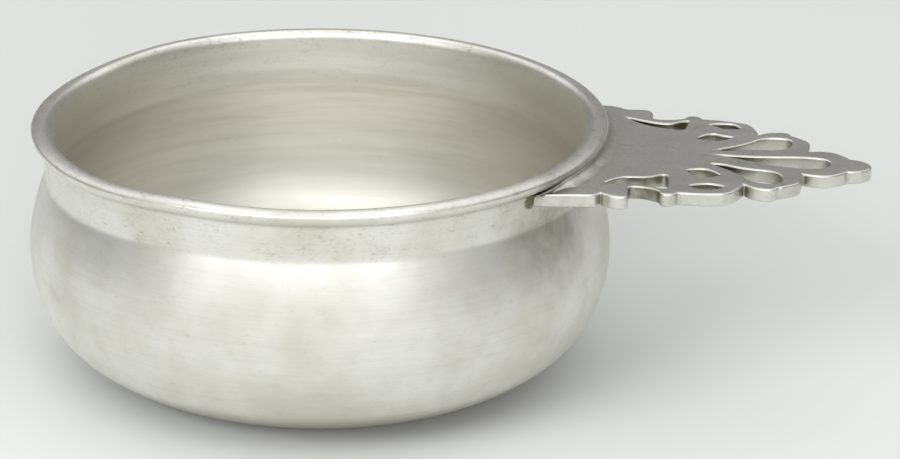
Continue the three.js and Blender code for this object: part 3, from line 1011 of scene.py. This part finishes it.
# %% [markdown]
# The shares now become curves in the frame's X and Y. A quadratic stroke, with one control point, is easy
# to draw, and Blender's cubic handles lie two thirds of the way to that point. The left side is drawn
# backwards, so that one spline runs all round the ear and ends in an arc along the collar.

# %% Strokes and splines
root_bite = 1.2 * MM
root_radius = collar_radius - root_bite
root_steps = 24
stroke_steps = 6
handle_share = 2 / 3
same_point = 0.0001 * MM


def on_ear(share, side):
    """A point of the drawing in the frame's X and Y."""
    along, across = share
    return Vector((rim_radius + ear_length * along, ear_shift + side * ear_half_width * across, 0))


def strokes_on(side, shares):
    """Control and end of each curve on one side of the ear."""
    return [(on_ear(control, side), on_ear(end, side)) for control, end in shares]


def backwards(start, strokes):
    """The same curves drawn from the last end to the start."""
    ends = [start, *[end for _, end in strokes]]
    return [(control, ends[i]) for i, (control, _) in enumerate(strokes)][::-1]


def add_spline(curve, start, strokes, closing=()):
    """A closed Bezier spline from quadratic strokes, then straight corners."""
    ends = [start, *[end for _, end in strokes], *closing]
    if (ends[-1] - ends[0]).length < same_point:
        ends.pop()
    spline = curve.splines.new("BEZIER")
    spline.bezier_points.add(len(ends) - 1)
    spline.use_cyclic_u = True
    spline.resolution_u = stroke_steps
    for point, end in zip(spline.bezier_points, ends):
        point.handle_left_type = point.handle_right_type = "FREE"
        point.co = point.handle_left = point.handle_right = end
    count = len(ends)
    for i, (control, end) in enumerate(strokes):
        first = spline.bezier_points[i]
        second = spline.bezier_points[(i + 1) % count]
        first.handle_right = first.co + (control - first.co) * handle_share
        second.handle_left = second.co + (control - second.co) * handle_share


print("the root arc's radius, mm:", round(root_radius / MM, 2))

# %% [markdown]
# The curve is filled on both faces, extruded and rounded. Its width is pulled in by the rounding first,
# so that the finished edge lies where it was drawn. Weighted normals then keep the two faces flat while
# their rounded edges stay smooth.

# %% Draw the ear and give it thickness
merge_points = 0.001 * MM
edge_steps = 3


def ear_curve():
    """The ear's drawing as a filled 2D curve with rounded edges."""
    curve = bpy.data.curves.new("Ear drawing", "CURVE")
    curve.dimensions = "2D"
    curve.fill_mode = "BOTH"
    curve.extrude = ear_thickness / 2 - edge_round
    curve.bevel_depth = edge_round
    curve.bevel_resolution = edge_steps
    curve.offset = -edge_round
    near_start = on_ear(right_start_share, right)
    far_start = on_ear(left_start_share, left)
    near = strokes_on(right, right_root_shares + edge_shares)
    far = backwards(far_start, strokes_on(left, left_root_shares + edge_shares))
    first = math.asin(far_start.y / root_radius)
    last = math.asin(near_start.y / root_radius)
    turns = [first + (last - first) * i / root_steps for i in range(root_steps + 1)]
    arc = [Vector((root_radius * math.cos(t), root_radius * math.sin(t), 0)) for t in turns]
    add_spline(curve, near_start, near + far, arc)
    for sides, start, shares in piercings.values():
        for side in sides:
            add_spline(curve, on_ear(start, side), strokes_on(side, shares))
    return curve


def as_mesh(name, data):
    """A mesh object at the origin made from a curve's result."""
    carrier = bpy.data.objects.new(name, data)
    bpy.context.collection.objects.link(carrier)
    seen = carrier.evaluated_get(bpy.context.evaluated_depsgraph_get())
    mesh = bpy.data.meshes.new_from_object(seen)
    bpy.data.objects.remove(carrier)
    made = bpy.data.objects.new(name, mesh)
    bpy.context.collection.objects.link(made)
    return made


def make_ear():
    """The ear: filled, merged and lifted to its height, with every face smooth."""
    made = as_mesh("pierced_ear", ear_curve())
    body = bmesh.new()
    body.from_mesh(made.data)
    bmesh.ops.remove_doubles(body, verts=body.verts, dist=merge_points)
    for vert in body.verts:
        vert.co.z += ear_top - ear_thickness / 2
    for surface in body.faces:
        surface.smooth = True
    body.to_mesh(made.data)
    body.free()
    return made


ear = make_ear()
print("ear:", facing_out(ear.data))
ear.data.materials.clear()
ear.data.materials.append(filed_pewter)
flatten = ear.modifiers.new("Flat faces stay flat", "WEIGHTED_NORMAL")
flatten.weight = 100
flatten.keep_sharp = True
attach(ear, "root")
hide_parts("handle")

# %% [markdown]
# The seam and the bracket are both lofts: closed rings of points, joined one to the next and capped at
# both ends. A bevelled curve carries one section along its path and can only scale it, and here the
# section changes its form on the way, so one helper joins any rings.

# %% Rings joined into a closed body
def lofted(name, rings, finish):
    """A mesh object from rings of points with the same count, joined in order and capped."""
    count = len(rings[0])
    last = (len(rings) - 1) * count
    faces = [tuple(range(count)), tuple(last + i for i in range(count))[::-1]]
    for start in range(0, last, count):
        for j in range(count):
            a, b = start + j, start + (j + 1) % count
            faces.append((a, a + count, b + count, b))
    mesh = bpy.data.meshes.new(name)
    mesh.from_pydata([point for ring in rings for point in ring], [], faces)
    made = bpy.data.objects.new(name, mesh)
    bpy.context.collection.objects.link(made)
    print(name + ":", facing_out(mesh))
    mesh.shade_smooth()
    mesh.materials.append(finish)
    return made


# %% [markdown]
# The ear was fused to the collar with more molten pewter. What shows is a low fillet on top of the ear
# along the lip, some two millimetres wide, which runs out level with the ear and narrows to nothing at
# both ends. It has one cross-section for each small step round the collar, and noise moves its outer
# edge. Each section dips just under the ear's top, so that no edge shows between the two.

# %% Sizes of the fused seam
seam_spread = 2.3 * MM
seam_rise = 1.35 * MM
seam_steps = 120
seam_half_turn = math.radians(30.8)
taper_turn = math.radians(9)
taper_drop = 0.2 * MM
seam_bed = 0.25 * MM
collar_bite = 0.2 * MM
lip_tuck = 0.5 * MM
skirt = 0.6 * MM
skirt_drop = 0.06 * MM
toe_drop = 0.02 * MM
taper_clearance = 0.3 * MM
fillet_steps = 8
fillet_pull_shares = (0.5, 0.9, 0.35)
ragged_share = 0.16
ragged_waves = [(14, 3.1, 1.0), (45, 7.7, 0.5)]
print("the seam's length along the lip, mm:", round(2 * seam_half_turn * rim_radius / MM))

# %% [markdown]
# The fillet is a Bezier curve that is tangent to the ear's top, because molten metal wets the plate and
# runs out flat. The noise has two sizes of wave, written as waves for each radian, a start and a share.

# %% The fused seam
def seam_section(spread, ended):
    """One closed section: radius and height of each corner. At an end it narrows to nothing."""
    inner = collar_radius - collar_bite
    bed = ear_top - seam_bed - taper_drop * ended
    outer = rim_radius + spread
    rise = seam_rise * (1 - ended)
    top = ear_top + rise
    reach = outer - rim_radius + lip_tuck
    flat, steep, lift = fillet_pull_shares
    fillet = bezier([(outer, ear_top - toe_drop), (outer - flat * reach, ear_top),
                     (outer - steep * reach, ear_top + lift * rise), (outer - reach, top)], fillet_steps)
    sunk = (outer + skirt, ear_top - skirt_drop)
    return [(inner, bed), (outer + skirt, bed), sunk, *fillet, (inner, top)]


def seam_ring(turn):
    """The section at an angle round the collar, with its ragged outer edge."""
    ragged = sum(share * noise.noise(Vector((turn * waves, start, 0)))
                 for waves, start, share in ragged_waves)
    ended = max(0.0, 1 - (seam_half_turn - abs(turn)) / taper_turn)
    full = seam_spread * (1 + ragged_share * ragged)
    spread = full + (collar_radius - rim_radius + taper_clearance - full) * ended
    return [(r * math.cos(turn), r * math.sin(turn), z) for r, z in seam_section(spread, ended)]


seam_turns = [seam_half_turn * (2 * i / seam_steps - 1) for i in range(seam_steps + 1)]
seam = lofted("fused_seam", [seam_ring(turn) for turn in seam_turns], fused_pewter)
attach(seam, "root")
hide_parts("handle_seam")

# %% [markdown]
# Under the ear a triangular bracket carries it. It is broad where it is fused to the collar and the
# belly, and runs out to a point. Each section is the lower half of a squared-off ellipse that hangs from
# the ear, and its width and height shrink towards the point, the height faster than the width.

# %% The bracket
bracket_reach = 15 * MM
bracket_width = 18 * MM
bracket_point_width = 3 * MM
bracket_drop = 6 * MM
bracket_point_height = 0.8 * MM
bracket_steps = 24
bracket_side_steps = 16
bracket_taper = 0.9
bracket_hollow = 2.2
bracket_squareness = 0.45
wall_bite = 0.4 * MM
ear_bite = 0.2 * MM


def bracket_size(share):
    """Width and height of the bracket at a share of its reach."""
    width = bracket_width + (bracket_point_width - bracket_width) * share ** bracket_taper
    drop = bracket_drop - bracket_point_height
    return width, bracket_point_height + drop * (1 - share) ** bracket_hollow


def bracket_ring(x):
    """One rounded section of the bracket at a place along the ear."""
    width, height = bracket_size(max(0.0, (x - rim_radius) / bracket_reach))
    top = ear_top - ear_thickness + ear_bite
    ring = []
    for i in range(bracket_side_steps + 1):
        turn = math.pi * i / bracket_side_steps
        across = math.copysign(abs(math.cos(turn)) ** bracket_squareness, math.cos(turn))
        down = math.sin(turn) ** bracket_squareness
        ring.append((x, -width / 2 * across, top - (height + ear_bite) * down))
    return ring


bracket_start = crease_radius - wall_bite
bracket_length = rim_radius + bracket_reach - bracket_start
bracket_places = [bracket_start + bracket_length * i / bracket_steps for i in range(bracket_steps + 1)]
bracket = lofted("ear_bracket", [bracket_ring(x) for x in bracket_places], cast_pewter)
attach(bracket, "root")
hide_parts("handle_bracket")

# %% [markdown]
# The floor is a plain pale sheet, wide enough for a view from any side. It isn't part of the object. A
# curved backdrop would hide the horizon too, but only from the front.

# %% The floor
floor_half = 4.0


def make_floor():
    """A large pale square that the bowl stands on."""
    ends = [(-floor_half, -floor_half, 0), (floor_half, -floor_half, 0), (floor_half, floor_half, 0),
            (-floor_half, floor_half, 0)]
    mesh = bpy.data.meshes.new("Floor")
    mesh.from_pydata(ends, [], [(0, 1, 2, 3)])
    made, tree = material("Pale matt paper")
    shader = add(tree, "ShaderNodeBsdfPrincipled",
                 {"Base Color": linear("#c1c3c0"), "Roughness": 0.9, "Specular IOR Level": 0.2})
    add(tree, "ShaderNodeOutputMaterial", shader)
    mesh.materials.append(made)
    sheet = bpy.data.objects.new("Floor", mesh)
    bpy.context.collection.objects.link(sheet)
    return sheet


floor = make_floor()
print("floor's width, m:", 2 * floor_half)

# %% [markdown]
# Metal shows its surroundings, so the light is mostly the room. Think of a white cloth that hangs in
# front of the porringer and runs on overhead, brightest half way up, with an unlit room behind it and
# at both sides. Real planes around the bowl could do this, but one ramp in the world is quicker to tune.
# It runs from the floor in front over the top to the floor behind. The shoulder of the belly mirrors
# the brightest band, the lip mirrors the cloth overhead, and the flat top of the ear mirrors the grey
# room just behind the cloth's edge.

# %% The room's light
cloth_stops = [(0, 0.84), (12, 0.88), (24, 1.12), (38, 1.3), (58, 1.15), (76, 0.95), (95, 0.9),
               (126, 1.1), (141, 1.16), (149, 0.56), (155, 0.23), (180, 0.22)]
cloth_edge_shares = (0.62, 1.0)
room_shade = 0.26
forward, sideways, upwards = (0.0, -1.0, 0.0), (1.0, 0.0, 0.0), (0.0, 0.0, 1.0)


def cloth_shade(tree, over):
    """The cloth's grey, read from stops in degrees from the floor in front to the floor behind."""
    shade = add(tree, "ShaderNodeValToRGB", over)
    elements = shade.node.color_ramp.elements
    while len(elements) < len(cloth_stops):
        elements.new(0.5)
    for element, (degrees, grey) in zip(elements, cloth_stops):
        element.position = degrees / 180
        element.color = (grey, grey, grey, 1)
    return shade


def room_light():
    """A world like a lit cloth in front and overhead, and a grey room behind and at the sides."""
    world = bpy.data.worlds.new("Soft room")
    world.use_nodes = True
    tree = world.node_tree
    tree.nodes.clear()
    direction = add(tree, "ShaderNodeTexCoord", out="Generated")
    ahead, beside, above = [add(tree, VECTOR, direction, axis, out="Value", operation="DOT_PRODUCT")
                            for axis in (forward, sideways, upwards)]
    turn = add(tree, MATH, above, ahead, operation="ARCTAN2")
    over = add(tree, MATH, turn, math.pi, operation="DIVIDE")
    beside = add(tree, MATH, beside, operation="ABSOLUTE")
    share = add(tree, RANGE, beside, *cloth_edge_shares, 1.0, 0.0, interpolation_type="SMOOTHSTEP")
    room = (room_shade, room_shade, room_shade, 1)
    shade = add(tree, MIX, {0: share, 6: room, 7: cloth_shade(tree, over)}, out=2, data_type="RGBA")
    ground = add(tree, "ShaderNodeBackground", {"Color": shade, "Strength": 1.0})
    add(tree, "ShaderNodeOutputWorld", ground)
    return world


bpy.context.scene.world = room_light()
print("the cloth is brightest at this many degrees:", max(cloth_stops, key=lambda stop: stop[1])[0])

# %% [markdown]
# Two soft boxes whiten the shoulder and the lip. Two far, broad lamps lighten the shadow under the
# belly from both sides. Metal doesn't mirror those two, because they would show as hard white shapes.

# %% The lamps
lamps = [
    # Name, place and target in metres, width and depth in metres, watts, and whether metal mirrors it
    ("Front soft box", (0.02, -0.5, 0.52), (0, 0, 0.02), 0.9, 0.36, 1.5, True),
    ("Overhead soft box", (-0.05, 0.15, 0.8), (0, 0, 0.05), 0.55, 0.9, 0.7, True),
    ("Left fill", (-0.8, -1.36, 0.8), (0, 0, 0), 1.0, 0.65, 19.0, False),
    ("Right fill", (0.64, -1.6, 0.56), (0, 0, 0), 1.0, 0.65, 22.0, False),
]


def soft_lamp(name, place, target, width, depth, watts, mirrored):
    """A rectangular lamp that faces a target."""
    data = bpy.data.lights.new(name, "AREA")
    data.shape = "RECTANGLE"
    data.size = width
    data.size_y = depth
    data.energy = watts
    lamp = bpy.data.objects.new(name, data)
    bpy.context.collection.objects.link(lamp)
    lamp.location = place
    aim = Vector(target) - Vector(place)
    lamp.rotation_euler = aim.to_track_quat("-Z", "Y").to_euler()
    lamp.visible_glossy = mirrored


for row in lamps:
    soft_lamp(*row)
print("lamps:", len(lamps))

# %% [markdown]
# Last, the picture is shown as it is, with the Standard view, so that a colour renders about as it is
# written.

# %% Close the scene
scene = bpy.context.scene
scene.view_settings.view_transform = "Standard"
